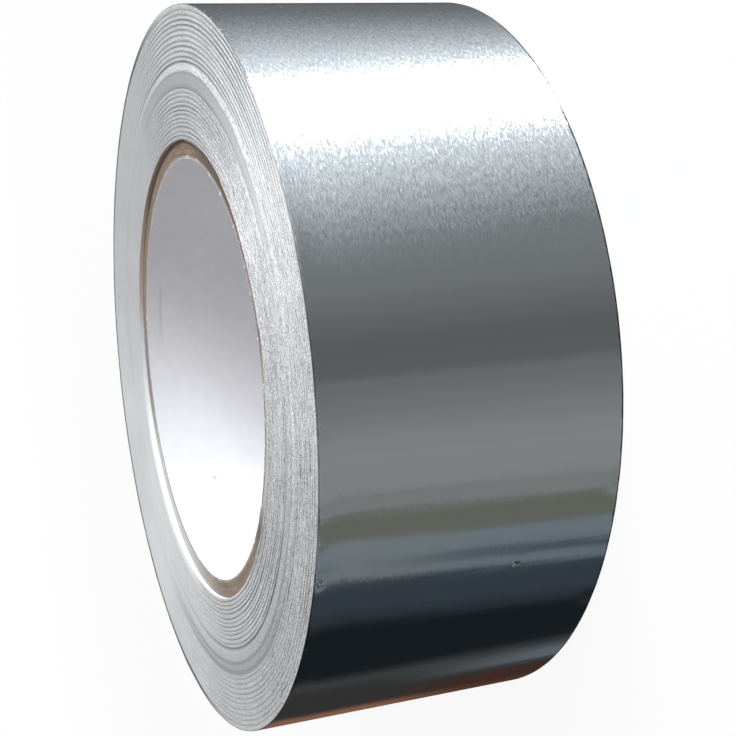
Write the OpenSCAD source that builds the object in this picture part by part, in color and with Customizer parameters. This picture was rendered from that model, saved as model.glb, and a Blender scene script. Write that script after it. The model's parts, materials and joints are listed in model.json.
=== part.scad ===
// Roll of aluminium foil tape on a board core, standing on one end.
// The roll's axis is Z, and the origin is on that axis in the plane that the roll stands on.
// The tape is wound straight on to the core, so the two meet face to face.

/* [Tape] */
// Width of the tape, and so the height of the roll on its end
tape_w = 50; // [20:1:150]
// Outside diameter, over the last full turn
roll_d = 129; // [116:1:200]
// Thickness of one turn: foil, adhesive and release paper together
turn_t = 0.155; // [0.05:0.005:0.5]
// Size of the small bevel along both edges of the outermost turn
edge_bevel = 0.2; // [0.05:0.05:0.6]

/* [End faces] */
// Radial width of one group of turns that have slipped along the axis together
group_w = 2; // [0.9:0.1:3]
// Furthest that the end of one group leans below the face
group_slip = 0.3; // [0.1:0.05:0.6]
// Radial width of the ribbed zone next to the core
ribbed_w = 8.8; // [4:0.2:10]
// Radial width of the smooth belt outside that zone
belt_w = 2.4; // [1:0.1:3]
// Radial width of the shallow trough outside the belt
trough_w = 1.6; // [0.6:0.1:2]
// Depth of that trough
trough_depth = 0.25; // [0.1:0.05:0.6]
// Radial width of the flat rim that the roll stands on
rim_w = 1.8; // [1:0.1:3]

/* [Core] */
// Bore of the core inside its lining, where a dispenser's hub goes
core_bore_d = 76.2; // [25:0.1:80]
// Wall of the brown board tube
board_t = 2.7; // [1:0.1:3]
// Thickness of the white paper that lines the tube
lining_t = 0.5; // [0.3:0.1:1]
// Depth of the core's ends below the tape's end faces
core_recess = 0.8; // [0.2:0.1:5]

/* [Hidden] */
$fn = 96;

roll_r = roll_d / 2;
bore_r = core_bore_d / 2;
lining_r = bore_r + lining_t;
core_r = lining_r + board_t;
core_len = tape_w - 2 * core_recess;

// The outline's two halves have centres this far apart, which makes it climb by one turn
half_turn = turn_t / 2;
// The faces are drawn past the outline and then trimmed to it
trim_r = roll_r + 4 * turn_t;

// The radii at which the zones of an end face meet, going outwards
belt_r = core_r + ribbed_w;
trough_r = belt_r + belt_w;
outer_r = trough_r + trough_w;
rim_r = roll_r - rim_w;

inner_groups = max(1, round(ribbed_w / group_w));
outer_groups = max(1, round((rim_r - outer_r) / group_w));

// Slip of group i, which differs from its neighbours' in a steady, uneven way
function slip(i) = group_slip * (0.6 + 0.4 * sin(137.5 * i));

// A row of n groups between two radii, as [radius, depth]: each leans down, then steps up to the next
function group_row(r0, r1, n, first) = [
    for (i = [0 : n - 1])
        for (end = [0, 1])
            [r0 + (i + end) * (r1 - r0) / n, end * slip(first + i)]
];

// An end face from the core out to past the outline, as [radius, depth below the face]
function face_line() = concat(
    group_row(core_r, belt_r, inner_groups, 0),
    [[belt_r, 0], [trough_r, 0], [trough_r + trough_w / 2, trough_depth]],
    group_row(outer_r, rim_r, outer_groups, inner_groups),
    [[rim_r, 0], [trim_r, 0]]
);

function reversed(line) = [for (i = [len(line) - 1 : -1 : 0]) line[i]];

// The wound tape as a turned ring with both of its end faces
module wound_ring() {
    low = [for (p = face_line()) [p[0], p[1]]];
    high = [for (p = reversed(face_line())) [p[0], tape_w - p[1]]];
    rotate_extrude()
        polygon(concat(low, high));
}

// One side of the outline, turned about its own centre
module outline_half(r, centre_y, start) {
    translate([0, centre_y, 0])
        rotate([0, 0, start])
            rotate_extrude(angle = 180)
                polygon([
                    [0, 0], [r - edge_bevel, 0], [r, edge_bevel],
                    [r, tape_w - edge_bevel], [r - edge_bevel, tape_w], [0, tape_w]
                ]);
}

// All the turns as one solid. The free end of the tape is the step at the back, on +Y.
module tape_roll() {
    color([0.76, 0.77, 0.79])
        intersection() {
            wound_ring();
            union() {
                outline_half(roll_r, 0, -90);
                outline_half(roll_r + half_turn, half_turn, 90);
            }
        }
}

// A plain ring as long as the core
module core_ring(inner, outer) {
    translate([0, 0, core_recess])
        rotate_extrude()
            polygon([[inner, 0], [outer, 0], [outer, core_len], [inner, core_len]]);
}

module core_tube() {
    color([0.62, 0.47, 0.34])
        core_ring(lining_r, core_r);
}

module core_lining() {
    color([0.93, 0.92, 0.93])
        core_ring(bore_r, lining_r);
}

tape_roll();
core_tube();
core_lining();
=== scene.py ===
import json
from math import cos, pi, radians, sin

import bpy
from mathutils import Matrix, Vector


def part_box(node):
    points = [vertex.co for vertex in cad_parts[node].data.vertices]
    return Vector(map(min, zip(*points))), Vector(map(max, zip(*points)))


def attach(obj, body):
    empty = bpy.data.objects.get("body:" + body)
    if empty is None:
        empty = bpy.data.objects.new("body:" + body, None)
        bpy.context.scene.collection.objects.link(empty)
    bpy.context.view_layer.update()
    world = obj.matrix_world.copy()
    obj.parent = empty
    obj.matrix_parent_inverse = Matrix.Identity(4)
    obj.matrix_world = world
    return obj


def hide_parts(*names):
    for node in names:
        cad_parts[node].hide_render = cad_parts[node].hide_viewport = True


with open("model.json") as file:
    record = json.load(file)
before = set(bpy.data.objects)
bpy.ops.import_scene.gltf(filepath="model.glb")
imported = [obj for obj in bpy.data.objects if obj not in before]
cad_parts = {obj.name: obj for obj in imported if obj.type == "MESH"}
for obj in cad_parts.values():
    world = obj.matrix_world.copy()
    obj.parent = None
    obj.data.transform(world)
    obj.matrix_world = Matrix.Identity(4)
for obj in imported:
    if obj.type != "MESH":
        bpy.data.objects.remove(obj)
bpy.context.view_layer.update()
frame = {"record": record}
mm = 0.001

unused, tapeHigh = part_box("tape_roll")
tubeLow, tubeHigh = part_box("core_tube")
liningLow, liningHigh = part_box("core_lining")
boreMount = next(m for m in frame["record"]["mounts"] if m["name"] == "core_bore")

rollRadius = tapeHigh.x
tapeWidth = tapeHigh.z
turnThickness = tapeHigh.y - tapeHigh.x
tubeRadius = tubeHigh.x
liningRadius = liningHigh.x
boreRadius = boreMount["dims"]["r_mm"] * mm
freeEndAngle = pi / 2  # the last turn ends at the back, on +Y
print("frame: radius", round(rollRadius, 5), "width", tapeWidth, "turn", round(turnThickness, 6))


# A socket of a node tree. Maths on it adds Math nodes, so that a rule reads as one expression.
class Wire:
    def __init__(self, graph, socket):
        self.graph = graph
        self.socket = socket

    def maths(self, operation, *values):
        sockets = dict(enumerate([self, *values]))
        return self.graph.node("ShaderNodeMath", {"operation": operation}, sockets)

    def turned(self, operation, value):
        return self.graph.node("ShaderNodeMath", {"operation": operation}, {0: value, 1: self})

    def __add__(self, other):
        return self.maths("ADD", other)

    def __radd__(self, other):
        return self.turned("ADD", other)

    def __sub__(self, other):
        return self.maths("SUBTRACT", other)

    def __rsub__(self, other):
        return self.turned("SUBTRACT", other)

    def __mul__(self, other):
        return self.maths("MULTIPLY", other)

    def __rmul__(self, other):
        return self.turned("MULTIPLY", other)

    def __truediv__(self, other):
        return self.maths("DIVIDE", other)

    def __pow__(self, other):
        return self.maths("POWER", other)

    def __neg__(self):
        return self.maths("MULTIPLY", -1.0)

    def __abs__(self):
        return self.maths("ABSOLUTE")


# A node tree with one way to add a node: its type, its settings, and the values or wires of its sockets.
class Graph:
    def __init__(self, tree):
        self.tree = tree

    def node(self, kind, settings=None, sockets=None, output=0):
        made = self.tree.nodes.new(kind)
        for name, value in (settings or {}).items():
            setattr(made, name, value)
        for key, value in (sockets or {}).items():
            for one in value if isinstance(value, list) else [value]:
                self.feed(made.inputs[key], one)
        return Wire(self, made.outputs[output])

    def feed(self, socket, value):
        if isinstance(value, Wire):
            self.tree.links.new(value.socket, socket)
        else:
            socket.default_value = value

    def split(self, vector):
        parts = self.tree.nodes.new("ShaderNodeSeparateXYZ")
        self.feed(parts.inputs[0], vector)
        return [Wire(self, out) for out in parts.outputs]

    def join(self, x, y, z):
        return self.node("ShaderNodeCombineXYZ", None, {0: x, 1: y, 2: z})

    def stretch(self, vector, scale):
        return self.node("ShaderNodeVectorMath", {"operation": "MULTIPLY"}, {0: vector, 1: scale})

    def addVectors(self, first, second):
        return self.node("ShaderNodeVectorMath", {"operation": "ADD"}, {0: first, 1: second})

    # Runs from low to high as value goes from start to end, with soft ends
    def ramp(self, value, start, end, low=0.0, high=1.0):
        sockets = {"Value": value, "From Min": start, "From Max": end, "To Min": low, "To Max": high}
        return self.node("ShaderNodeMapRange", {"interpolation_type": "SMOOTHSTEP"}, sockets)

    # Fractal noise from -1 to 1 about 0
    def noise(self, vector, detail=2.0, roughness=0.5):
        sockets = {"Vector": vector, "Scale": 1.0, "Detail": detail, "Roughness": roughness}
        return self.node("ShaderNodeTexNoise", {"noise_dimensions": "3D"}, sockets) * 2.0 - 1.0

    # The same with one scale on all three axes
    def spaceNoise(self, place, scale, detail=2.0, roughness=0.5):
        return self.noise(self.stretch(place, (scale, scale, scale)), detail, roughness)

    # The same round the axis: rate is how fast it changes along a turn, and other its third coordinate
    def roundNoise(self, alongX, alongY, rate, other, detail):
        return self.noise(self.join(alongX * rate, alongY * rate, other), detail)

    # Mixes two colours, each one a wire or its red, green and blue
    def mixColour(self, factor, first, second):
        first, second = [c if isinstance(c, Wire) else (*c, 1.0) for c in (first, second)]
        sockets = {0: factor, 6: first, 7: second}
        return self.node("ShaderNodeMix", {"data_type": "RGBA"}, sockets, output=2)


# Geometry

weldDistance = 0.001 * mm
sharpAngle = 55  # degrees, above which the edge between two faces isn't shaded smooth


# Starts a geometry tree whose inputs are the piece's sizes, and returns it with a wire for each
def startTree(name, sizes):
    tree = bpy.data.node_groups.new(name, "GeometryNodeTree")
    tree.interface.new_socket("Geometry", in_out="OUTPUT", socket_type="NodeSocketGeometry")
    for size in sizes:
        tree.interface.new_socket(size, in_out="INPUT", socket_type="NodeSocketFloat")
    graph = Graph(tree)
    entry = tree.nodes.new("NodeGroupInput")
    wires = {size: Wire(graph, entry.outputs[size]) for size in sizes}
    return graph, wires


# Welds the patches, moves each point by the rule, and ends the tree
def endTree(graph, patches, rule, material):
    joined = graph.node("GeometryNodeJoinGeometry", None, {0: patches})
    welded = graph.node("GeometryNodeMergeByDistance", None, {"Geometry": joined, "Distance": weldDistance})
    position = rule(graph, graph.node("GeometryNodeInputPosition"))
    moved = graph.node("GeometryNodeSetPosition", None, {"Geometry": welded, "Position": position})
    smooth = graph.node("GeometryNodeSetShadeSmooth", None, {"Geometry": moved})
    sharp = graph.node("GeometryNodeInputMeshEdgeAngle").maths("GREATER_THAN", radians(sharpAngle))
    smooth = graph.node("GeometryNodeSetShadeSmooth", {"domain": "EDGE"}, {
        "Geometry": smooth, "Selection": sharp, "Shade Smooth": False,
    })
    single = graph.node("GeometryNodeRealizeInstances", None, {"Geometry": smooth})
    painted = graph.node("GeometryNodeSetMaterial", None, {"Geometry": single, "Material": material})
    result = graph.tree.nodes.new("NodeGroupOutput")
    graph.feed(result.inputs[0], painted)


# One wall of a turned ring, as a grid swept from one corner of its section to the next
def ringWall(graph, around, across, first, last):
    counts = {"Size X": 1.0, "Size Y": 1.0, "Vertices X": around + 1, "Vertices Y": across + 1}
    grid = graph.node("GeometryNodeMeshGrid", None, counts)
    x, y, unused = graph.split(graph.node("GeometryNodeInputPosition"))
    turn = (x + 0.5) * (2 * pi) + freeEndAngle
    step = y + 0.5
    radius = first[0] + (last[0] - first[0]) * step
    height = first[1] + (last[1] - first[1]) * step
    place = graph.join(turn.maths("COSINE") * radius, turn.maths("SINE") * radius, height)
    return graph.node("GeometryNodeSetPosition", None, {"Geometry": grid, "Position": place})


# All the walls of a turned ring, from each corner of its section to the next and back to the first
def ringWalls(graph, around, corners, rows):
    nextCorners = corners[1:] + corners[:1]
    return [
        ringWall(graph, around, count, first, last)
        for count, first, last in zip(rows, corners, nextCorners)
    ]


# The section of a plain ring: its upper end, outside, lower end and inside
def plainSection(inner, outer, low, high):
    return [(inner, high), (outer, high), (outer, low), (inner, low)]


# Runs a tree on an empty object and keeps the result as a plain mesh at the origin
def bakeTree(name, tree, values):
    holder = bpy.data.objects.new(name + "Tree", bpy.data.meshes.new(name + "Seed"))
    bpy.context.scene.collection.objects.link(holder)
    modifier = holder.modifiers.new("tree", "NODES")
    modifier.node_group = tree
    for item in tree.interface.items_tree:
        if item.in_out == "INPUT":
            modifier[item.identifier] = values[item.name]
    evaluated = holder.evaluated_get(bpy.context.evaluated_depsgraph_get())
    mesh = bpy.data.meshes.new_from_object(evaluated)
    holder.modifiers.remove(modifier)
    bpy.data.objects.remove(holder)
    mesh.name = name
    piece = bpy.data.objects.new(name, mesh)
    bpy.context.scene.collection.objects.link(piece)
    print("made", name, "with", len(mesh.polygons), "faces")
    return piece


# The polar parts of a position: radius, the unit direction's x and y, and height
def polar(graph, position):
    x, y, z = graph.split(position)
    radius = (x * x + y * y).maths("SQRT")
    return radius, x / radius, y / radius, z


# Which end of a ring a height is nearer to, as 1 or -1, and 1 where it lies right on that end
def nearestEnd(z, low, high):
    fromMiddle = z - (low + high) * 0.5
    onEnd = (abs(fromMiddle) - (high - low) * 0.4999).maths("GREATER_THAN", 0.0)
    return fromMiddle.maths("SIGN"), onEnd


# Extra radius of the outline, which climbs by one turn over the half circle on the -X side
def spiral(alongX, alongY, thickness):
    onMinusX = alongX.maths("LESS_THAN", 0.0)
    return (alongY + 1.0) * onMinusX * thickness * 0.5


# 1 where a value lies between start and end, and 0 outside them, with soft edges
def between(graph, value, start, end, softStart, softEnd):
    rise = graph.ramp(value, start - softStart, start + softStart)
    fall = graph.ramp(value, end + softEnd, end - softEnd)
    return rise * fall


# A line at a radius or height: 1 as far as full from its wavering middle, and 0 beyond reach
def wavyLine(graph, value, middle, waver, reach, full):
    return graph.ramp(abs(value - middle + waver), reach, full)


# How much of a fleck there is at a place: 1 in its middle, and soft towards its reach
def fleck(graph, place, radius, azimuth, height, reach):
    spot = (radius * cos(radians(azimuth)), radius * sin(radians(azimuth)), height)
    away = graph.node("ShaderNodeVectorMath", {"operation": "DISTANCE"}, {0: place, 1: spot}, output=1)
    return graph.ramp(away, reach, reach * 0.3)


# A side of the roll is two values of x over the radius: where a change starts, and where it is full
woundTape = {
    "around": 224,
    "faceRows": 190,
    "wallRows": 4,
    "clearance": 0.01 * mm,  # under the last turn, which is a piece of its own
    "climbBand": 2 * mm,  # width of the turns that follow the spiral outline
    "innerPitch": 0.74 * mm,  # between grooves in the zone next to the core
    "outerPitch": 0.88 * mm,  # between grooves in the zone near the rim
    "beltStart": 50.3 * mm,
    "beltTop": 52.9 * mm,  # the smooth belt is flat up to here and falls away to its end
    "beltEnd": 54.7 * mm,
    "beltRise": 0.9 * mm,  # width over which it comes up from its start
    "beltDrop": 0.12 * mm,
    "flatSoft": 0.1 * mm,
    "zoneSoft": 0.05 * mm,
    "rimStart": 63.8 * mm,
    "rimSoft": 0.3 * mm,
    "lean": 0.13 * mm,
    "slip": 0.06 * mm,
    "notch": 0.10 * mm,
    "notchShare": 0.25,  # of a pitch, on either side of a groove
    "broadShare": 0.37,  # the same on the +X side, where the grooves are broader
    "broadSide": (0.3, 0.9),
    "shown": (0.3, 0.65),  # the least that is left of a groove, elsewhere and on that side
    "gap": 0.6,  # how far a groove fades where it is broken, on the -X side
    "gapSide": (0.1, -0.2),
    "farShare": (0.5, 1.0),  # depth of the grooves near the rim, on the -X side and elsewhere
    "farSide": (-0.9, -0.3),
    "calm": 0.2,  # what is left of the grooves on the smoother side, towards +Y
    "calmSide": (0.05, 0.5),  # values of y, not of x
    "edgeReach": (0.45 * mm, 0.7 * mm),  # of the lines along the belt, elsewhere and on the -X side
    # Depth of the line along each edge of the belt, on the +X and the -X side
    "edgeLines": [("beltStart", 0.0, 0.7), ("beltTop", 0.5, 0.6), ("beltEnd", 0.5, 0.6)],
    "wander": 0.20 * mm,
    "slipNoise": (1.6, 0.83),  # how fast it changes round the roll, and from one groove to the next
    "gapNoise": (6.0, 1.7),
    "wanderNoise": 2.2,
    "spacingNoise": (0.7, 1.9),  # how fast it changes round the roll, and its grain across in mm
}


# A row of grooves: how far across its group a point is, the groove's own line, and a random slip
def grooveRow(graph, bent, alongX, alongY, start, pitch):
    phase = (bent - start) / pitch
    across = phase.maths("FRACT")
    cell = phase.maths("FLOOR")
    fromGroove = 0.5 - abs(across - 0.5)
    share = graph.ramp(alongX, *woundTape["broadSide"], woundTape["notchShare"], woundTape["broadShare"])
    line = (1.0 - fromGroove / share).maths("MAXIMUM", 0.0)
    rate, step = woundTape["slipNoise"]
    uneven = graph.roundNoise(alongX, alongY, rate, cell * step, 1.0)
    shown = graph.ramp(alongX, *woundTape["broadSide"], *woundTape["shown"])
    rate, step = woundTape["gapNoise"]
    gaps = graph.roundNoise(alongX, alongY, rate, cell * step, 1.0)
    broken = graph.ramp(alongX, *woundTape["gapSide"], 0.0, woundTape["gap"])
    broken = broken * graph.ramp(gaps, 0.25, -0.35)
    line = line * (shown + (1.0 - shown) * graph.ramp(uneven, -0.4, 0.3)) * (1.0 - broken)
    return across, line, uneven


# The end faces' relief: a depth below the plane of the face, the lines of the grooves, the smooth belt,
# and how much of the grooves there is on this side
def faceRelief(graph, radius, alongX, alongY, side):
    beltStart, beltTop, beltEnd = woundTape["beltStart"], woundTape["beltTop"], woundTape["beltEnd"]
    rimStart, soft = woundTape["rimStart"], woundTape["zoneSoft"]
    wobble = graph.roundNoise(alongX, alongY, woundTape["wanderNoise"], side * 3.0, 3.0)
    rate, acrossMm = woundTape["spacingNoise"]
    spacing = graph.roundNoise(alongX, alongY, rate, radius / (acrossMm * mm), 1.0)
    bent = radius + (wobble + spacing * 1.6) * woundTape["wander"]

    inner = graph.ramp(bent, beltStart + soft, beltStart - soft)
    rim = graph.ramp(bent, rimStart, rimStart + woundTape["rimSoft"])
    outer = graph.ramp(bent, beltEnd - soft, beltEnd + soft) * (1.0 - rim)
    further = graph.ramp(alongX, 0.0, -0.5, 0.0, 0.2)
    rough = graph.ramp(alongY + wobble * 0.2 - further, *woundTape["calmSide"], 1.0, woundTape["calm"])

    depth = 0.0
    lines = 0.0
    fainter = graph.ramp(alongX, *woundTape["farSide"], *woundTape["farShare"])
    for zone, start, pitch, share in (
        (inner, tubeRadius, woundTape["innerPitch"], 1.0),
        (outer, beltEnd, woundTape["outerPitch"], fainter),
    ):
        across, line, uneven = grooveRow(graph, bent, alongX, alongY, start, pitch)
        fall = (1.0 - across) * woundTape["lean"] + (uneven + 0.6) * woundTape["slip"]
        fall = fall + line * woundTape["notch"]
        depth = depth + zone * fall * rough * share
        lines = lines + zone * line * rough * share

    belt = (1.0 - inner) * (1.0 - outer) * (1.0 - rim)
    rise = graph.ramp(bent, beltStart, beltStart + woundTape["beltRise"], woundTape["beltDrop"], 0.0)
    drop = graph.ramp(bent, beltTop, beltEnd, 0.0, woundTape["beltDrop"])
    depth = depth + belt * (rise + drop) * rough
    reach = graph.ramp(alongX, -0.3, -0.8, *woundTape["edgeReach"])
    for edge, onPlusX, onMinusX in woundTape["edgeLines"]:
        line = graph.ramp(abs(bent - woundTape[edge]), reach, 0.0) * rough
        line = line * graph.ramp(alongX, 0.2, -0.8, onPlusX, onMinusX)
        depth = depth + line * woundTape["notch"]
        lines = lines + line
    flat = belt * graph.ramp(bent, beltTop + woundTape["flatSoft"], beltTop - woundTape["flatSoft"])
    return depth, lines.maths("MINIMUM", 1.0), flat, rough


# All the turns but the last, as one ring with both of its end faces
def makeWoundTape(material):
    graph, size = startTree("windTape", ["inner", "outer", "width", "turn"])
    values = {
        "inner": tubeRadius, "outer": rollRadius - turnThickness - woundTape["clearance"],
        "width": tapeWidth, "turn": turnThickness,
    }
    section = plainSection(size["inner"], size["outer"], 0.0, size["width"])
    rows = [woundTape["faceRows"], woundTape["wallRows"]] * 2
    patches = ringWalls(graph, woundTape["around"], section, rows)

    def rule(graph, position):
        radius, alongX, alongY, z = polar(graph, position)
        side, onFace = nearestEnd(z, 0.0, size["width"])
        depth, *unused = faceRelief(graph, radius, alongX, alongY, side)
        follows = graph.ramp(radius, size["outer"] - woundTape["climbBand"], size["outer"])
        out = radius + spiral(alongX, alongY, size["turn"]) * follows
        return graph.join(out * alongX, out * alongY, z - side * onFace * depth)

    endTree(graph, patches, rule, material)
    return bakeTree("wound_tape", graph.tree, values)


outerTurn = {
    "around": 480,
    "rows": 36,
    "rimRows": 12,
    "rimBand": 5.0 * mm,
    "shoulderRows": 4,
    "shoulder": 0.40 * mm,
    "insideRows": 6,
    "rounding": 0.05 * mm,
    "waviness": 0.012 * mm,
    "waveNoise": (4.0, 60.0),  # how fast it changes round the roll, and over a metre of height
    "rimWave": 0.06 * mm,
    "rimNoise": (14.0, 90.0),
    # Small dents at the rims, as azimuth from +X in degrees, height, reach and depth in mm
    "nicks": [
        (-114.5, 49.6, 1.0, 0.03), (-120.5, 49.2, 0.9, 0.04), (-132.5, 49.6, 1.0, 0.04),
        (-106.5, 49.7, 1.0, 0.04), (-99.0, 49.6, 1.0, 0.04),
        (-122.5, 16.5, 0.8, -0.02), (-112.0, 0.8, 1.6, 0.06), (-132.0, 0.9, 1.8, 0.07),
    ],
}


# The last turn of tape, a closed strip that goes once round and ends at the back
def makeOuterTurn(material):
    graph, size = startTree("lastTurn", ["outer", "width", "turn"])
    values = {"outer": rollRadius, "width": tapeWidth, "turn": turnThickness}
    shoulder = outerTurn["shoulder"]
    band = outerTurn["rimBand"]
    outer, width = size["outer"], size["width"]
    inner = outer - size["turn"]
    section = [
        (inner, width), (outer, width), (outer, width - shoulder), (outer, width - band),
        (outer, band), (outer, shoulder), (outer, 0.0), (inner, 0.0),
    ]
    rows = [
        1, outerTurn["shoulderRows"], outerTurn["rimRows"], outerTurn["rows"],
        outerTurn["rimRows"], outerTurn["shoulderRows"], 1, outerTurn["insideRows"],
    ]
    patches = ringWalls(graph, outerTurn["around"], section, rows)

    def rule(graph, position):
        radius, alongX, alongY, z = polar(graph, position)
        onOutside = (radius - outer + size["turn"] * 0.5).maths("GREATER_THAN", 0.0)
        fromMiddle = z - width * 0.5
        nearRim = 1.0 - graph.ramp(width * 0.5 - abs(fromMiddle), 0.0, shoulder)
        rate, upRate = outerTurn["waveNoise"]
        waves = graph.roundNoise(alongX, alongY, rate, z * upRate, 2.0)
        rate, upRate = outerTurn["rimNoise"]
        rimWaves = graph.roundNoise(alongX, alongY, rate, z * upRate, 3.0)
        out = radius + spiral(alongX, alongY, size["turn"])
        out = out + waves * outerTurn["waviness"] * (1.0 - nearRim) * onOutside
        out = out - nearRim * nearRim * outerTurn["rounding"] * onOutside
        up = z + fromMiddle.maths("SIGN") * rimWaves * nearRim * outerTurn["rimWave"]
        for azimuth, height, reach, deep in outerTurn["nicks"]:
            dx = (alongX - cos(radians(azimuth))) * (rollRadius / mm / reach)
            dy = (alongY - sin(radians(azimuth))) * (rollRadius / mm / reach)
            dz = (z / mm - height) / reach
            spread = dx * dx + dy * dy + dz * dz
            out = out - (-spread).maths("EXPONENT") * (deep * mm)
        return graph.join(out * alongX, out * alongY, up)

    endTree(graph, patches, rule, material)
    return bakeTree("outer_turn", graph.tree, values)


coreBoard = {
    "around": 192,
    "endRows": 24,
    "wallRows": 6,
    "plies": 5,
    "plyStep": 0.06 * mm,
    "plyWander": 0.12 * mm,
    "fuzz": 0.05 * mm,
    "fuzzNoise": (60.0, 0.5),  # how fast it changes round the tube, and its grain across in mm
}


def makeCoreBoard(material):
    graph, size = startTree("boardTube", ["inner", "outer", "low", "high"])
    values = {"inner": liningRadius, "outer": tubeRadius, "low": tubeLow.z, "high": tubeHigh.z}
    section = plainSection(size["inner"], size["outer"], size["low"], size["high"])
    rows = [coreBoard["endRows"], coreBoard["wallRows"]] * 2
    patches = ringWalls(graph, coreBoard["around"], section, rows)

    def rule(graph, position):
        radius, alongX, alongY, z = polar(graph, position)
        side, onEnd = nearestEnd(z, size["low"], size["high"])
        wander = graph.roundNoise(alongX, alongY, 3.0, side, 2.0) * coreBoard["plyWander"]
        share = (radius + wander - size["inner"]) / (size["outer"] - size["inner"])
        ply = (share * coreBoard["plies"]).maths("FRACT")
        groove = (1.0 - abs(ply - 0.5) * 2.0) ** 0.5
        rate, acrossMm = coreBoard["fuzzNoise"]
        fuzz = graph.roundNoise(alongX, alongY, rate, radius / (acrossMm * mm), 3.0)
        depth = (1.0 - groove) * coreBoard["plyStep"] + fuzz * coreBoard["fuzz"]
        return graph.join(radius * alongX, radius * alongY, z - side * onEnd * depth)

    endTree(graph, patches, rule, material)
    return bakeTree("core_board", graph.tree, values)


boreLining = {
    "around": 512,
    "endRows": 6,
    "outsideRows": 2,
    "wallRows": 60,
    "ragged": 0.10 * mm,
    "raggedNoise": 40.0,
    "waviness": 0.015 * mm,
    "waveNoise": (5.0, 40.0),  # how fast it changes round the tube, and over a metre of height
    # Small torn flecks on the upper end, as azimuth from +X in degrees, and reach and rise in mm
    "tears": [
        (-12.0, 0.7, 0.7), (-42.0, 0.5, 0.35), (-32.0, 0.4, 0.2), (-54.0, 0.4, 0.25),
        (-66.0, 0.45, 0.3), (-73.0, 0.4, 0.2), (-84.0, 0.4, 0.2),
    ],
}


def makeBoreLining(material):
    graph, size = startTree("paperLining", ["inner", "outer", "low", "high"])
    values = {"inner": boreRadius, "outer": liningRadius, "low": liningLow.z, "high": liningHigh.z}
    section = plainSection(size["inner"], size["outer"], size["low"], size["high"])
    endRows = boreLining["endRows"]
    rows = [endRows, boreLining["outsideRows"], endRows, boreLining["wallRows"]]
    patches = ringWalls(graph, boreLining["around"], section, rows)

    def rule(graph, position):
        radius, alongX, alongY, z = polar(graph, position)
        side, onEnd = nearestEnd(z, size["low"], size["high"])
        tear = graph.roundNoise(alongX, alongY, boreLining["raggedNoise"], side * 5.0, 4.0)
        rate, upRate = boreLining["waveNoise"]
        waves = graph.roundNoise(alongX, alongY, rate, z * upRate, 2.0)
        onInside = (size["outer"] - radius).maths("GREATER_THAN", 0.2 * mm)
        out = radius - (waves + 1.0) * boreLining["waviness"] * onInside
        up = z + side * onEnd * tear * boreLining["ragged"]
        for azimuth, reach, rise in boreLining["tears"]:
            torn = fleck(graph, position, boreRadius, azimuth, liningHigh.z, reach * mm)
            up = up + torn * onEnd * (rise * mm)
        return graph.join(out * alongX, out * alongY, up)

    endTree(graph, patches, rule, material)
    return bakeTree("bore_lining", graph.tree, values)


# Materials

def newMaterial(name):
    material = bpy.data.materials.new(name)
    material.use_nodes = True
    material.node_tree.nodes.clear()
    return material, Graph(material.node_tree)


def finishMaterial(graph, shader):
    end = graph.tree.nodes.new("ShaderNodeOutputMaterial")
    graph.feed(end.inputs["Surface"], shader)


def objectPlace(graph):
    return graph.node("ShaderNodeTexCoord", None, None, output="Object")


def bumpNormal(graph, strength, distance, height):
    sockets = {"Strength": strength, "Distance": distance, "Height": height}
    return graph.node("ShaderNodeBump", None, sockets)


# A place stretched so that noise on it has grains of one length round the roll and another along its axis
def grainPlace(graph, place, roundMm, upMm):
    return graph.stretch(place, (1 / (roundMm * mm), 1 / (roundMm * mm), 1 / (upMm * mm)))


rolledFoil = {
    "colour": (0.83, 0.845, 0.86),
    "streakColour": (0.79, 0.805, 0.82),
    "adhesive": (0.04, 0.04, 0.04),  # the dull line along both edges of the tape: adhesive, with painted shade along the lower edge and on the +Y side
    "adhesiveBand": 0.30 * mm,
    "lowerShadeBand": 0.3,  # how much broader that line is along the lower edge, as painted shade where the roll stands on the floor
    "adhesiveRagged": 0.25 * mm,
    "adhesiveMm": 1.5,
    "adhesiveShown": (0.35, 0.9),  # how dark the line is along the upper edge on the -Y side, and everywhere else, where painted shade adds to the adhesive
    "roughness": 0.125,
    "haze": 0.14,
    "anisotropy": 0.5,
    "streakMm": (0.95, 0.23),
    "tilt": 0.185,
    "creaseMm": (1.1, 30.0),
    "crease": 0.016,
    # Small scuffs, as azimuth from +X in degrees, height and reach in mm
    "scuffs": [
        (-122.7, 16.4, 0.9), (-120.6, 49.3, 1.0), (-114.5, 49.6, 0.8),
        (-132.5, 49.6, 0.8), (-106.5, 49.7, 0.6), (-99.0, 49.6, 0.5),
    ],
    "scuffTilt": 0.45,
    "scratchScale": (2600.0, 2600.0, 4000.0),
    "evenShare": 0.08,  # of the streaks, on the half of the foil that is smooth
    "evenSide": (0.08, 0.44),
    "curl": 0.010,
    "curlBand": 3.2 * mm,
    "flare": 0.05,
    "flareBand": 5.0 * mm,
    "chip": (0.9, 0.9, 0.9),
    "chipMm": 0.45,
    "chipBand": 0.7 * mm,
}


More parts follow.
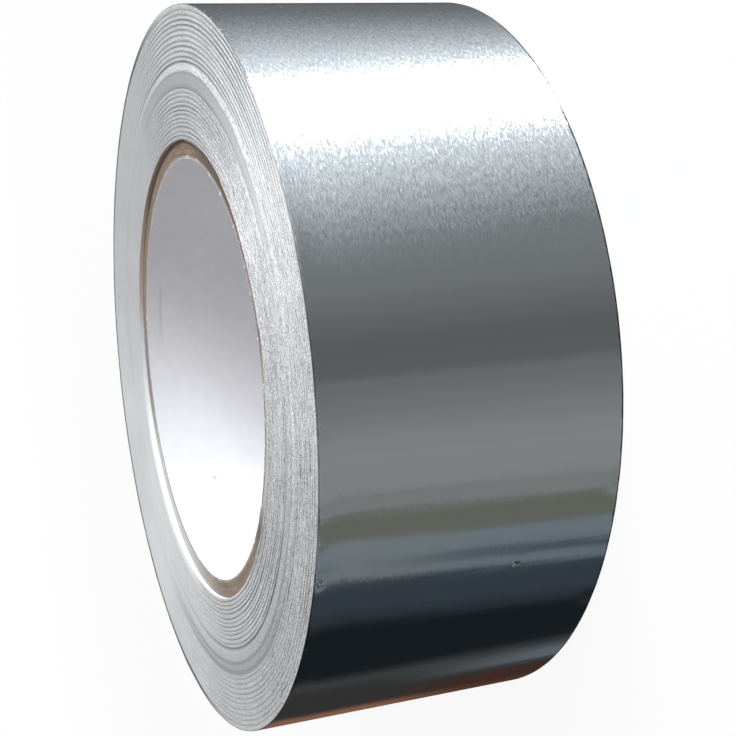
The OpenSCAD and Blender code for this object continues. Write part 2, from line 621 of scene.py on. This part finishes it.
# Aluminium foil with short rolling streaks along the tape
def makeFoil(look):
    material, graph = newMaterial("rolledFoil")
    place = objectPlace(graph)
    radius, alongX, alongY, z = polar(graph, place)
    fromTop = tapeWidth - z
    fromRim = tapeWidth / 2 - abs(z - tapeWidth / 2)

    # Streaks, creases and scuffs tilt the surface round the roll and up it
    streakPlace = grainPlace(graph, place, *look["streakMm"])
    streak = graph.noise(streakPlace, roughness=0.75)
    other = graph.noise(graph.addVectors(streakPlace, (31.0, 7.0, 19.0)), roughness=0.75)
    crease = graph.noise(grainPlace(graph, place, *look["creaseMm"])) * look["crease"]
    scuffed = 0.0
    for azimuth, height, reach in look["scuffs"]:
        scuffed = scuffed + fleck(graph, place, rollRadius, azimuth, height * mm, reach * mm)
    scratchy = graph.noise(graph.stretch(place, look["scratchScale"]), detail=1.0)
    scuff = scuffed * scratchy * look["scuffTilt"]
    uneven = graph.ramp(alongX, *look["evenSide"], look["evenShare"], 1.0)
    curl = graph.ramp(fromTop, look["curlBand"], 0.0) * graph.ramp(alongX, 0.0, -0.3)
    flare = graph.ramp(fromTop, look["flareBand"], 0.0) * look["flare"]
    tiltRound = streak * uneven * look["tilt"] + curl * look["curl"] + crease + scuff
    tiltUp = other * uneven * (look["tilt"] * 0.5) - flare + scuff
    tangent = graph.join(-alongY * tiltRound, alongX * tiltRound, tiltUp)
    normal = graph.node("ShaderNodeNewGeometry", None, None, output="Normal")
    tilted = graph.addVectors(normal, tangent)
    bent = graph.node("ShaderNodeVectorMath", {"operation": "NORMALIZE"}, {0: tilted})
    rough = look["roughness"] + graph.ramp(other, 0.0, 0.5) * uneven * look["haze"]

    # The dull line at both rims: adhesive, darkened by painted shade along the lower rim and on the +Y side
    lowHalf = graph.ramp(z, tapeWidth * 0.6, tapeWidth * 0.4)
    ragged = graph.spaceNoise(place, 1 / (look["adhesiveMm"] * mm), detail=3.0)
    band = (1.0 + lowHalf * look["lowerShadeBand"]) * look["adhesiveBand"]
    onRim = graph.ramp(fromRim + ragged * look["adhesiveRagged"], band, band * 0.4)
    atFront, full = look["adhesiveShown"]
    # Painted shade: the line is darker towards +Y and along the lower half
    rimLineShade = graph.ramp(alongY, -0.2, 0.3, atFront, full)
    rimLineShade = lowHalf * (full - rimLineShade) + rimLineShade
    clean = graph.ramp(streak * uneven, -0.4, 0.1)
    colour = graph.mixColour(clean, look["streakColour"], look["colour"])
    colour = graph.mixColour(onRim * rimLineShade, colour, look["adhesive"])

    # Pale chips along the upper rim, towards -Y and +X
    chips = graph.ramp(graph.spaceNoise(place, 1 / (look["chipMm"] * mm)), 0.2, 0.4)
    chips = chips * graph.ramp(fromTop, look["chipBand"], 0.0) * graph.ramp(alongY, 0.1, -0.2)
    chips = chips * graph.ramp(alongX, 0.3, 0.6)
    colour = graph.mixColour(chips, colour, look["chip"])
    shader = graph.node("ShaderNodeBsdfPrincipled", None, {
        "Base Color": colour, "Metallic": 1.0 - chips, "Roughness": rough + chips * 0.4,
        "Anisotropic": look["anisotropy"], "Anisotropic Rotation": 0.25, "Normal": bent,
    })
    finishMaterial(graph, shader)
    return material


slitEdges = {
    "pale": (0.95, 0.95, 0.96),
    "dull": (0.32, 0.315, 0.32),
    # the dark of the grooves, painted shade in them
    "groove": (0.12, 0.12, 0.125),
    # the grey of the smooth belt, painted shade, strongest on the +X side
    "belt": (0.42, 0.42, 0.43),
    "white": (1.0, 1.0, 1.0),
    # the dark of the painted shade at the face's rim on the +Y side, and of the real dark marks
    "rimShadeAndMarks": (0.07, 0.07, 0.07),
    "shadeBrown": (0.50, 0.365, 0.31),  # the first turn above the core, from +X towards -X: painted shade and a painted reflection of the brown board
    "reflectedBrown": (0.92, 0.74, 0.65),
    "clean": (0.95, 0.95, 0.96),
    "metal": 0.5,
    "roughness": 0.42,
    "anisotropy": 0.75,
    "bump": 0.8,
    "grainMm": 0.28,
    "dashMm": (1.6, 0.15),
    "turnNoise": (9.0, 0.22),  # how fast it changes round the roll, and its grain across in mm
    "cloudScale": 110.0,
    "clouds": 0.12,
    "crest": 0.32,  # painted light: how much lighter the ridges are on the +X side
    "crestNearCore": 0.2,  # so much less next to the core
    "crestOnFlank": 0.16,  # so much less on the belt's outer flank
    # Painted light and shade on sides of the face, as the direction's x and y, where it starts and is full,
    # and the change
    "paintedShades": [(0.0, -1.0, 0.5, 0.9, 0.06), (-0.64, 0.77, 0.8, 0.97, -0.14)],
    "coreShade": (-0.707, -0.707, 0.75, 0.96, 0.16),  # the same, next to the core only
    "ahead": (-0.1, 0.4, 0.12, 0.1),  # a span of x with painted shade: start, end and the softness of both
    "aheadShade": (0.07, 0.08),  # how much darker, and how much more next to the core
    "glintSpan": (0.35, 0.8, 0.1, 0.1),  # a span with a painted glint outside the belt, with darker grooves
    "glint": 0.24,
    "grooveStrength": (0.45, 0.78),  # how strong the painted shade in the grooves is, elsewhere and on the -X side
    "plusStrength": 0.45,  # how much stronger on the +X side
    "troughRadius": 53.8 * mm,  # painted shade, a grey smear on the -X side
    "highlightRadius": 49.8 * mm,  # a painted highlight, the thin white line towards -Y and +X
    "highlightSpan": (0.28, 0.58, 0.05, 0.1),
    "boreBand": 2.6 * mm,  # the white zone next to the core, towards +Y and -X
    "rimBand": (0.95 * mm, 0.6 * mm),  # how far from the rim the painted shade line starts, and is full
    "ragged": 0.25 * mm,
    # Small dark marks on the upper face, as azimuth from +X in degrees, and radius and reach in mm
    "marks": [(73.0, 60.0, 0.6), (-64.0, 58.3, 0.4)],
}


# Painted light and shade: how light the fine lines of the face are on its various sides, and how strong the
# painted glint is
def paintedFaceLight(look, graph, radius, alongX, alongY, lines, belt, clouds, nearCore):
    lit = clouds * look["clouds"]
    for x, y, start, end, change in look["paintedShades"]:
        lit = lit + graph.ramp(alongX * x + alongY * y, start, end, 0.0, change)
    x, y, start, end, change = look["coreShade"]
    lit = lit + nearCore * graph.ramp(alongX * x + alongY * y, start, end, 0.0, change)
    crest = (1.0 - lines) * (1.0 - belt) * graph.ramp(alongX, 0.4, 0.9) * graph.ramp(alongY, 0.35, -0.1)
    flank = between(graph, radius, woundTape["beltTop"], woundTape["beltEnd"], 0.2 * mm, 0.2 * mm)
    less = nearCore * look["crestNearCore"] + flank * look["crestOnFlank"]
    lit = lit + crest * (look["crest"] - less)
    ahead = between(graph, alongX, *look["ahead"]) * graph.ramp(alongY, -0.5, -0.8)
    darker, nearer = look["aheadShade"]
    lit = lit - ahead * (darker + nearCore * nearer)
    glint = between(graph, alongX, *look["glintSpan"]) * graph.ramp(alongY, 0.0, -0.3)
    glint = glint * graph.ramp(radius, woundTape["beltEnd"] - 0.1 * mm, woundTape["beltEnd"] + 0.4 * mm)
    return lit + glint * look["glint"], glint


# The slit edges of foil and release paper, seen as fine lines along the turns, with painted light, shade
# and highlights
def makeSlitEdges(look):
    material, graph = newMaterial("slitEdges")
    place = objectPlace(graph)
    radius, alongX, alongY, z = polar(graph, place)
    side = (z - tapeWidth / 2).maths("SIGN")
    unused, lines, belt, rough = faceRelief(graph, radius, alongX, alongY, side)
    nearCore = graph.ramp(radius, woundTape["beltStart"], woundTape["beltStart"] - 0.5 * mm)
    toFront = graph.ramp(alongY, -0.85, -0.98)

    # The fine lines, as a height that also says how light each one is, and the face's painted light and
    # shade
    rate, acrossMm = look["turnNoise"]
    turns = graph.roundNoise(alongX, alongY, rate, radius / (acrossMm * mm), 1.0)
    longMm, acrossMm = look["dashMm"]
    dashes = graph.roundNoise(alongX, alongY, rollRadius / (longMm * mm), radius / (acrossMm * mm), 1.0)
    grain = graph.spaceNoise(place, 1 / (look["grainMm"] * mm), roughness=0.7)
    grainy = graph.ramp(alongX * 0.1 - alongY, 0.1, 0.7, 0.3, 1.0)
    height = (dashes + grain * 1.7 + turns * 0.6) * rough * grainy * (1.0 - belt * 0.5 * (1.0 - toFront))
    clouds = graph.spaceNoise(place, look["cloudScale"], detail=3.0)
    lit, glint = paintedFaceLight(look, graph, radius, alongX, alongY, lines, belt, clouds, nearCore)
    shade = graph.ramp(height * (1.0 - glint * 0.25) + lit, -0.8, 0.8)
    colour = graph.mixColour(shade, look["dull"], look["pale"])

    # Painted shade: the grey belt, the smear beside it, and the grooves
    greyed = belt * rough * graph.ramp(alongX, -0.7, 0.1, 0.1, 0.8) * (1.0 - toFront * 0.75)
    troughShade = wavyLine(graph, radius, look["troughRadius"], clouds * (0.4 * mm), 1.4 * mm, 0.4 * mm)
    troughShade = troughShade * rough * graph.ramp(alongX, -0.5, -0.85)
    troughShade = troughShade * graph.ramp(clouds + grain * 0.3, -0.6, 0.3, 0.2, 0.5)
    colour = graph.mixColour(greyed.maths("MAXIMUM", troughShade), colour, look["belt"])
    strength = graph.ramp(alongX, -0.2, -0.9, *look["grooveStrength"])
    strength = strength + graph.ramp(alongX, 0.4, 0.9) * look["plusStrength"] + glint * 0.3
    strength = strength * (1.0 - nearCore * graph.ramp(alongX, -0.6, -0.9, 0.0, 0.22))
    colour = graph.mixColour(lines * strength, colour, look["groove"])

    # White by the core, a painted highlight line, the painted shade line at the rim on the +Y side, and the
    # marks
    byBore = graph.ramp(radius, tubeRadius + look["boreBand"], tubeRadius)
    byBore = byBore * graph.ramp(alongX, 0.0, -0.35) * graph.ramp(alongY, 0.2, 0.5)
    # Painted highlight along a thin line inside the belt
    paintedHighlight = wavyLine(graph, radius, look["highlightRadius"], clouds * (0.2 * mm), 0.25 * mm, 0.08 * mm)
    paintedHighlight = paintedHighlight * between(graph, alongX, *look["highlightSpan"]) * graph.ramp(alongY, 0.0, -0.1)
    colour = graph.mixColour(byBore * 0.7 + paintedHighlight, colour, look["white"])
    start, full = look["rimBand"]
    # Painted shade along the face's rim on the +Y side
    rimShadeMask = graph.ramp(radius + grain * look["ragged"], rollRadius - start, rollRadius - full)
    rimShadeMask = rimShadeMask * graph.ramp(alongY, -0.1, 0.4)
    colour = graph.mixColour(rimShadeMask * 0.95, colour, look["rimShadeAndMarks"])
    for azimuth, out, reach in look["marks"]:
        marked = fleck(graph, place, out * mm, azimuth, tapeWidth, reach * mm)
        colour = graph.mixColour(marked * 0.7, colour, look["rimShadeAndMarks"])

    # The inside of the first turn, which shows above the core, painted dark brown towards +X as shade and a
    # reflection of the board
    inside = graph.ramp(radius, tubeRadius + 0.03 * mm, tubeRadius + 0.01 * mm)
    firstTurn = graph.mixColour(graph.ramp(alongX, 0.9, 0.65), look["shadeBrown"], look["reflectedBrown"])
    firstTurn = graph.mixColour(graph.ramp(alongX, 0.45, 0.2), firstTurn, look["clean"])
    colour = graph.mixColour(inside, colour, firstTurn)
    shader = graph.node("ShaderNodeBsdfPrincipled", None, {
        "Base Color": colour, "Metallic": (1.0 - inside) * look["metal"],
        "Roughness": look["roughness"], "Anisotropic": look["anisotropy"],
        "Anisotropic Rotation": 0.25, "Normal": bumpNormal(graph, look["bump"], 0.05 * mm, height),
    })
    finishMaterial(graph, shader)
    return material


kraftBoard = {
    "pale": (0.305, 0.228, 0.172),
    "dark": (0.12, 0.09, 0.072),
    "grey": (0.25, 0.235, 0.235),
    "dust": (0.62, 0.62, 0.61),
    "roughness": 0.85,
    "bump": 0.6,
    "plyNoise": (6.0, 0.35),  # how fast it changes round the tube, and its grain across in mm
    "fibreScale": 1800.0,
    "dusty": 0.85,  # how much dust there is towards +Y and -X
    "wallShadow": 0.7,  # painted shadow of the tape's wall on the board next to it, on the -Y side
    "wallShadowBand": (0.75 * mm, 0.1 * mm),
    "sliver": 0.95,  # the same painted shadow over its whole width, but not towards -X
    "covered": 0.75,  # how much dust there is on a span of x next to the lining, on the -Y side
    "coveredSpan": (-0.62, 0.02, 0.1, 0.1),
    "coveredBand": (1.5 * mm, 0.8 * mm),
}


# Brown board with its plies, dust on it, and painted shadow beside the tape
def makeBoard(look):
    material, graph = newMaterial("kraftBoard")
    place = objectPlace(graph)
    radius, alongX, alongY, z = polar(graph, place)
    rate, acrossMm = look["plyNoise"]
    plies = graph.roundNoise(alongX, alongY, rate, radius / (acrossMm * mm), 3.0)
    fibres = graph.spaceNoise(place, look["fibreScale"], detail=3.0)
    layers = graph.ramp(plies + fibres * 0.5, -0.8, 0.6)
    colour = graph.mixColour(layers, look["dark"], look["pale"])
    dusty = graph.ramp(alongY * 0.866 - alongX * 0.5, 0.4, 0.95) * look["dusty"]
    dust = graph.mixColour(graph.ramp(alongX, -0.05, -0.5), look["grey"], look["dust"])
    colour = graph.mixColour(dusty, colour, dust)
    start, full = look["wallShadowBand"]
    # Painted shadow of the tape's wall on the board
    wallShadow = graph.ramp(radius, tubeRadius - start, tubeRadius - full) * graph.ramp(alongY, 0.2, -0.4)
    sliver = graph.ramp(alongY, -0.2, -0.5) * graph.ramp(alongX, -0.8, -0.6) * look["sliver"]
    wallShadow = (wallShadow * look["wallShadow"]).maths("MAXIMUM", sliver)
    colour = graph.mixColour(wallShadow, colour, look["dark"])
    start, full = look["coveredBand"]
    covered = between(graph, alongX, *look["coveredSpan"]) * graph.ramp(alongY, -0.6, -0.75)
    covered = covered * graph.ramp(radius, liningRadius + start, liningRadius + full)
    colour = graph.mixColour(covered * look["covered"], colour, look["dust"])
    shader = graph.node("ShaderNodeBsdfPrincipled", None, {
        "Base Color": colour, "Roughness": look["roughness"],
        "Normal": bumpNormal(graph, look["bump"], 0.05 * mm, fibres),
    })
    finishMaterial(graph, shader)
    return material


whitePaper = {
    "colour": (0.83, 0.815, 0.835),
    "shade": (0.79, 0.77, 0.80),
    "cutEdge": (0.27, 0.225, 0.20),
    "grey": (0.2, 0.2, 0.2),
    "roughness": 0.5,
    "bump": 0.3,
    "mottleScale": 400.0,
    "fibreScale": 3000.0,
    "crease": 0.16,  # strength of the faint seam near the upper end
    "creaseHeight": 46.3 * mm,
    "creaseSpan": (0.2, 0.47, 0.08, 0.05),
    "speck": 0.4,
    "speckPlace": (125.5, 39.8, 0.6),  # azimuth from +X in degrees, and height and reach in mm
}


# White paper with a dark cut edge, a faint seam and one speck
def makePaper(look):
    material, graph = newMaterial("whitePaper")
    place = objectPlace(graph)
    radius, alongX, alongY, z = polar(graph, place)
    mottle = graph.spaceNoise(place, look["mottleScale"], detail=3.0)
    fibres = graph.spaceNoise(place, look["fibreScale"])
    colour = graph.mixColour(graph.ramp(mottle, -0.6, 0.6), look["shade"], look["colour"])
    onEdge = graph.ramp(radius + fibres * (0.05 * mm), boreRadius + 0.01 * mm, boreRadius + 0.07 * mm)
    flecks = graph.ramp(fibres + mottle, 0.25, 0.6)
    for azimuth, reach, unused in boreLining["tears"]:
        torn = fleck(graph, place, boreRadius, azimuth, liningHigh.z, reach * mm)
        flecks = flecks.maths("MAXIMUM", torn)
    colour = graph.mixColour(onEdge * (1.0 - flecks), colour, look["cutEdge"])
    creased = wavyLine(graph, z, look["creaseHeight"], mottle * (0.4 * mm), 0.45 * mm, 0.1 * mm)
    creased = creased * between(graph, alongX, *look["creaseSpan"]) * alongY.maths("GREATER_THAN", 0.0)
    azimuth, height, reach = look["speckPlace"]
    marked = fleck(graph, place, boreRadius, azimuth, height * mm, reach * mm)
    greyed = creased * look["crease"] + marked * look["speck"]
    colour = graph.mixColour(greyed, colour, look["grey"])
    shader = graph.node("ShaderNodeBsdfPrincipled", None, {
        "Base Color": colour, "Roughness": look["roughness"],
        "Normal": bumpNormal(graph, look["bump"], 0.02 * mm, fibres),
    })
    finishMaterial(graph, shader)
    return material


# The pieces

foil = makeFoil(rolledFoil)
wound = makeWoundTape(makeSlitEdges(slitEdges))
outer = makeOuterTurn(foil)
board = makeCoreBoard(makeBoard(kraftBoard))
lining = makeBoreLining(makePaper(whitePaper))

for piece, node, slotName in (
    (wound, "tape_roll", "foil_tape"), (outer, "tape_roll", "foil_tape"),
    (board, "core_tube", "kraft_board"), (lining, "core_lining", "white_paper"),
):
    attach(piece, "root")
    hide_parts(node)
print("pieces ride on the frame")


# Studio

studio = {
    "floorSide": 6.0,
    "floorDrop": 0.05 * mm,
    "floorColour": (0.85, 0.85, 0.85),
    "floorFade": (0.25, 0.65, 0.92, 1.0),  # two distances from the axis, and the share of white at each
    "camera": (0.0, -0.2541, 0.1167),
    "cameraTurn": (-14.74, 67.65, -105.24),
    "lens": 70.4,
    "keyPlace": (0.6927, -0.2659, 0.507),
    "keyColour": (0.955, 1.0, 1.01),
    "keySize": 0.65,
    "keyPower": 12.9,
    "plainLight": 0.27,
    "backdrop": (1.0, 1.0, 1.0),
}

# What the foil mirrors. Azimuths are in degrees, from 0 towards the camera round by +X, and slopes are
# degrees below the level. A pair says where a change starts and where it is full, and a span has a start,
# an end and the softness of both.
mirrored = {
    "room": (0.118, 0.124, 0.126),
    "farRoom": (0.072, 0.075, 0.079),
    "farPair": (90.0, 115.0),
    "glow": (0.92, 1.0, 1.06),
    "glowSplit": (93.0, 97.0),  # from the glow at the side to the one at the far side
    "sideGlow": 0.9,
    "sideGlowPair": (25.0, 77.0),
    "sideGlowLean": (24.0, 0.5),  # the slope where the pair holds, and how far a degree of slope moves it
    "farGlow": 0.93,
    "farGlowEnd": 150.0,
    "farGlowWidth": 52.0,
    "farGlowPower": 2.2,
    "nearGlow": 0.09,
    "nearGlowPair": (0.0, 25.0),
    "streaks": 0.16,
    "streakNoise": (0.3, 0.012),  # how fast it changes with the azimuth, and with the slope
    "softbox": (6.0, 6.0, 6.0),
    "softboxSpan": (70.0, 92.0, 3.0, 3.8),
    "softboxPair": (-25.0, -5.0),
    "upperRoom": (0.48, 0.48, 0.49),
    "upperLight": (5.3, 5.45, 5.55),
    "upperSpan": (112.0, 170.0, 18.0, 13.0),
    "upperPair": (-28.0, -46.0),
    "risePair": (2.0, -8.0),  # slopes where the upper room takes over from the cards
    "sideRisePair": (-30.0, -60.0),  # the same on both sides of the roll
    "sideSpan": (65.0, 142.0, 15.0, 8.0),
    "cardDown": 20.0,  # the slope at which the cards have the azimuths below
    "cardSpread": 0.008,  # how much they spread with each degree from it
    "spreadPair": (92.0, 114.0),  # the azimuths between which that ends
}

# The cards round the roll: a span of azimuths, a span of slopes or None, and the card's light
cards = {
    "greyWall": ((-42.5, -7.5, 1.0, 1.0), None, (0.165, 0.172, 0.168)),
    "brightEndOfWall": ((-43.0, -20.0, 1.0, 12.0), None, (0.25, 0.26, 0.262)),
    "shadowLine": ((-45.0, -42.0, 1.0, 0.7), None, (0.188, 0.199, 0.205)),
    "paleStrip": ((-48.5, -44.2, 0.7, 0.5), None, (0.210, 0.224, 0.222)),
    "oliveStrip": ((-57.0, -47.6, 0.8, 0.8), None, (0.134, 0.136, 0.115)),
    "blueStrip": ((-71.3, -57.0, 0.5, 0.8), None, (0.156, 0.192, 0.216)),
    "nearBlue": ((-71.3, -57.0, 0.5, 0.8), (0.0, 22.5, 1.0, 4.0), (0.188, 0.214, 0.222)),
    "thinShadow": ((-67.5, -64.0, 0.8, 0.8), (23.0, 60.0, 5.0, 1.0), (0.05, 0.07, 0.09)),
    "slateCorner": ((-90.0, -71.3, 6.0, 0.8), None, (0.036, 0.047, 0.060)),
    "darkCorner": ((-119.0, -86.8, 5.0, 5.0), None, (0.0095, 0.0125, 0.0150)),
    "dimCorner": ((-152.0, -119.5, 3.0, 4.5), None, (0.034, 0.034, 0.033)),
    "brownCorner": ((-150.0, -135.0, 3.0, 1.5), (21.5, 60.0, 2.5, 1.0), (0.055, 0.026, 0.019)),
    "lowStreak": ((-130.5, -122.5, 1.5, 5.0), (24.5, 60.0, 5.0, 1.0), (0.155, 0.190, 0.215)),
    "warmStrip": ((-168.0, -149.0, 4.0, 3.0), None, (0.080, 0.035, 0.023)),
    "warmGlow": ((-170.0, -147.5, 10.0, 3.0), (14.8, 21.5, 1.5, 2.5), (0.235, 0.115, 0.073)),
    "topCorner": ((158.0, 190.0, 5.0, 1.0), None, (0.046, 0.049, 0.053)),
}


# A pale floor that the camera sees as the white backdrop, with the roll's soft shadow near it
def makeFloor():
    half = studio["floorSide"] / 2
    below = -studio["floorDrop"]
    mesh = bpy.data.meshes.new("floor")
    corners = [(-half, -half, below), (half, -half, below), (half, half, below), (-half, half, below)]
    mesh.from_pydata(corners, [], [(0, 1, 2, 3)])
    floor = bpy.data.objects.new("floor", mesh)
    bpy.context.scene.collection.objects.link(floor)
    material, graph = newMaterial("paleFloor")
    lit = graph.node("ShaderNodeBsdfDiffuse", None, {"Color": (*studio["floorColour"], 1.0)})
    glow = graph.node("ShaderNodeEmission", None, {"Color": (*studio["backdrop"], 1.0), "Strength": 1.0})
    cameraRay = graph.node("ShaderNodeLightPath", None, None, output="Is Camera Ray")
    x, y, z = graph.split(objectPlace(graph))
    share = graph.ramp((x * x + y * y).maths("SQRT"), *studio["floorFade"])
    mixed = graph.node("ShaderNodeMixShader", None, {0: cameraRay * share, 1: lit, 2: glow})
    finishMaterial(graph, mixed)
    mesh.materials.append(material)
    floor.visible_glossy = False


# The light that the foil mirrors from a direction, as an azimuth and a slope
def mirroredLight(look, graph, turned, down):
    lean = graph.ramp(abs(turned), *look["spreadPair"], look["cardSpread"], 0.0)
    azimuth = turned * (1.0 - (down - look["cardDown"]) * lean)
    splitStart, splitEnd = look["glowSplit"]
    upright, perDegree = look["sideGlowLean"]
    sideGlow = graph.ramp(azimuth + (upright - down) * perDegree, *look["sideGlowPair"])
    sideGlow = sideGlow * graph.ramp(azimuth, splitEnd, splitStart) * look["sideGlow"]
    fromEnd = (look["farGlowEnd"] - azimuth) / look["farGlowWidth"]
    farGlow = fromEnd.maths("MAXIMUM", 0.0) ** look["farGlowPower"]
    farGlow = farGlow * graph.ramp(azimuth, splitStart, splitEnd) * look["farGlow"]
    nearGlow = graph.ramp(azimuth, *look["nearGlowPair"]) * look["nearGlow"]
    room = graph.mixColour(graph.ramp(azimuth, *look["farPair"]), look["room"], look["farRoom"])
    seen = graph.mixColour(farGlow + sideGlow + nearGlow, room, look["glow"])
    for azimuths, slopes, light in cards.values():
        mask = between(graph, azimuth, *azimuths)
        if slopes:
            mask = mask * between(graph, down, *slopes)
        seen = graph.mixColour(mask, seen, light)
    rate, downRate = look["streakNoise"]
    streaks = graph.noise(graph.join(azimuth * rate, down * downRate, 0.0), detail=5.0, roughness=0.68)
    seen = graph.stretch(seen, 1.0 + streaks * look["streaks"])
    softbox = between(graph, azimuth, *look["softboxSpan"]) * graph.ramp(down, *look["softboxPair"])
    seen = graph.mixColour(softbox, seen, look["softbox"])
    upper = between(graph, turned, *look["upperSpan"]) * graph.ramp(down, *look["upperPair"])
    upperSeen = graph.mixColour(upper, look["upperRoom"], look["upperLight"])
    side = between(graph, abs(turned), *look["sideSpan"])
    rise = graph.ramp(down, *look["risePair"]) * (1.0 - side)
    rise = rise + graph.ramp(down, *look["sideRisePair"]) * side
    return graph.mixColour(rise, seen, upperSeen)


# White for the camera, the cards for glossy rays, and an even fill for the rest
def makeWorld():
    world = bpy.data.worlds.new("studio")
    bpy.context.scene.world = world
    world.use_nodes = True
    world.node_tree.nodes.clear()
    world.cycles.sampling_method = "NONE"
    graph = Graph(world.node_tree)
    direction = graph.node("ShaderNodeTexCoord", None, None, output="Generated")
    x, y, z = graph.split(direction)
    level = (x * x + y * y).maths("SQRT")
    down = -(z.maths("ARCTAN2", level)) * (180 / pi)
    turned = x.maths("ARCTAN2", -y) * (180 / pi)
    isCamera = graph.node("ShaderNodeLightPath", None, None, output="Is Camera Ray")
    isGlossy = graph.node("ShaderNodeLightPath", None, None, output="Is Glossy Ray")
    plain = [studio["plainLight"]] * 3
    seen = graph.mixColour(isGlossy, plain, mirroredLight(mirrored, graph, turned, down))
    colour = graph.mixColour(isCamera, seen, studio["backdrop"])
    light = graph.node("ShaderNodeBackground", None, {"Color": colour, "Strength": 1.0})
    end = graph.tree.nodes.new("ShaderNodeOutputWorld")
    graph.feed(end.inputs["Surface"], light)


def makeKeyLamp():
    lamp = bpy.data.lights.new("keyLamp", "AREA")
    lamp.shape = "SQUARE"
    lamp.size = studio["keySize"]
    lamp.energy = studio["keyPower"]
    lamp.color = studio["keyColour"]
    holder = bpy.data.objects.new("keyLamp", lamp)
    bpy.context.scene.collection.objects.link(holder)
    place = Vector(studio["keyPlace"])
    holder.location = place
    aim = Vector((0, 0, tapeWidth / 2)) - place
    holder.rotation_euler = aim.to_track_quat("-Z", "Y").to_euler()
    holder.visible_glossy = False


def makeCamera():
    camera = bpy.data.cameras.new("camera")
    camera.lens = studio["lens"]
    camera.sensor_width = 36.0
    camera.clip_start = 0.01
    holder = bpy.data.objects.new("camera", camera)
    bpy.context.scene.collection.objects.link(holder)
    holder.location = studio["camera"]
    holder.rotation_euler = [radians(a) for a in studio["cameraTurn"]]
    bpy.context.scene.camera = holder


makeFloor()
makeWorld()
makeKeyLamp()
makeCamera()
bpy.context.scene.view_settings.view_transform = "Standard"
print("studio is lit")
